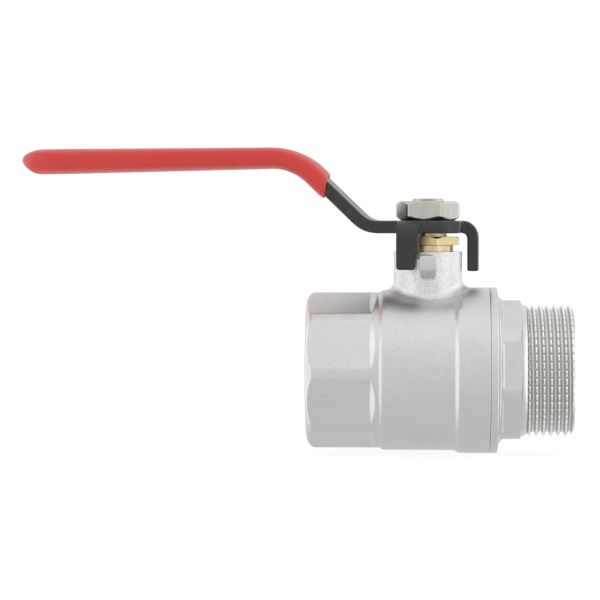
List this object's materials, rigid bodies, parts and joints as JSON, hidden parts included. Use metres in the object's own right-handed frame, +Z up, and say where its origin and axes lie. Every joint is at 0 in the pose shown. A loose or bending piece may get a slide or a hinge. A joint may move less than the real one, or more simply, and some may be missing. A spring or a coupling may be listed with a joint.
{
  "type": "ball valve",
  "caption": "Threaded ball valve with an octagonal body, a male outlet piece, a packed stem and a bent lever with a dipped grip that turns the ball between open and closed.",
  "frame": {"origin": "centre of the ball, where the pipe axis meets the stem axis", "axes": "+X along the pipe towards the male outlet, +Z up the stem towards the lever"},
  "size_m": [0.177, 0.0528, 0.0974],
  "materials": {
    "nickel_body": "satin",
    "nickel_end": "satin",
    "chrome_ball": "polished",
    "ptfe": "matte",
    "nbr": "matte",
    "brass_stem": "satin",
    "brass_nut": "satin",
    "black_steel": "satin",
    "red_pvc": "satin",
    "zinc_nut": "satin"
  },
  "bodies": {
    "valve_body": {"body": "nickel_body", "end_connector": "nickel_end", "connector_o_ring": "nbr", "inlet_seat": "ptfe", "outlet_seat": "ptfe", "thrust_washer": "ptfe", "packing_ring_lower": "ptfe", "packing_ring_upper": "ptfe", "packing_nut": "brass_nut"},
    "handle": {"stem": "brass_stem", "stem_o_ring": "nbr", "lever": "black_steel", "grip": "red_pvc", "handle_nut": "zinc_nut"},
    "ball": {"ball": "chrome_ball"}
  },
  "joints": [
    {"name": "handle_turn", "type": "hinge", "parent": "valve_body", "child": "handle", "pos_m": [0, 0, 0], "axis": [0, 0, 1], "range_deg": [-85.5, 4.5]},
    {"name": "ball_turn", "type": "hinge", "parent": "valve_body", "child": "ball", "pos_m": [0, 0, 0], "axis": [0, 0, 1], "range_deg": [-85.5, 4.5]}
  ],
  "couplings": [
    {"joint": "ball_turn", "follows": "handle_turn", "ratio": 1}
  ]
}
